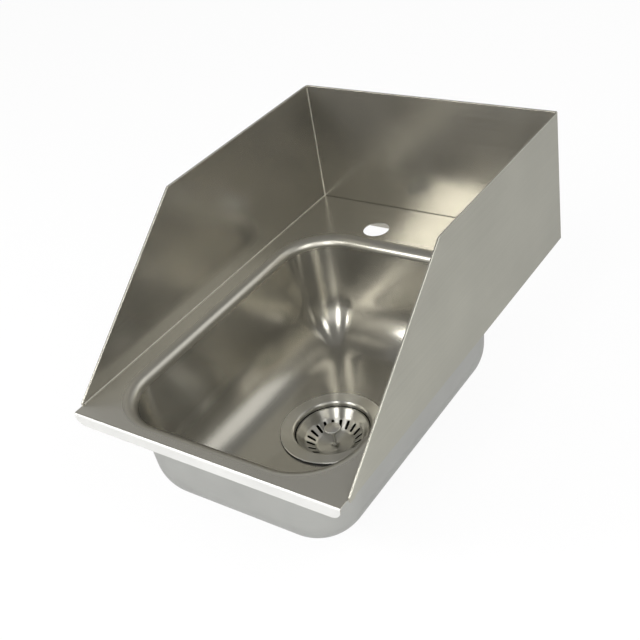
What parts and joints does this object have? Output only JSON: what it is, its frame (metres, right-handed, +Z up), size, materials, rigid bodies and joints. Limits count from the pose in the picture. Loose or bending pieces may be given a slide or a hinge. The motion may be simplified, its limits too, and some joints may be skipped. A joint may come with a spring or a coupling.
{
  "type": "drop-in sink",
  "caption": "Stainless steel drop-in sink with a drawn bowl, backsplash and sloping side splashes, tap holes in the deck and a basket drain with a lift-out strainer.",
  "frame": {"origin": "centre of the bowl in the plane of the deck's underside, which rests on the worktop", "axes": "+X to the right seen from the front, +Y to the back, +Z up"},
  "size_m": [0.3282, 0.4758, 0.3469],
  "materials": {
    "deck_steel": "satin brushed sheet",
    "bowl_steel": "satin drawn sheet",
    "drain_steel": "polished, turned",
    "cast_metal": "cast and plated",
    "black_rubber": "moulded",
    "fibre_board": "pressed fibre",
    "white_nylon": "moulded"
  },
  "bodies": {
    "sink": {"deck": "deck_steel", "backsplash": "deck_steel", "left_splash": "deck_steel", "right_splash": "deck_steel", "bowl": "bowl_steel", "strainer_body": "drain_steel", "flange_gasket": "black_rubber", "sealing_washer": "black_rubber", "friction_ring": "fibre_board", "lock_nut": "cast_metal", "outlet_spigot": "cast_metal", "coupling_washer": "white_nylon", "coupling_nut": "cast_metal"},
    "basket": {"basket_cup": "drain_steel", "basket_post": "drain_steel", "basket_knob": "drain_steel", "post_nut": "drain_steel", "stopper": "black_rubber", "stopper_washer": "drain_steel", "post_catch": "white_nylon"}
  },
  "joints": [
    {"name": "basket_lift", "type": "slide", "parent": "sink", "child": "basket", "axis": [0, 0, 1], "range_m": [0, 0.2]}
  ]
}
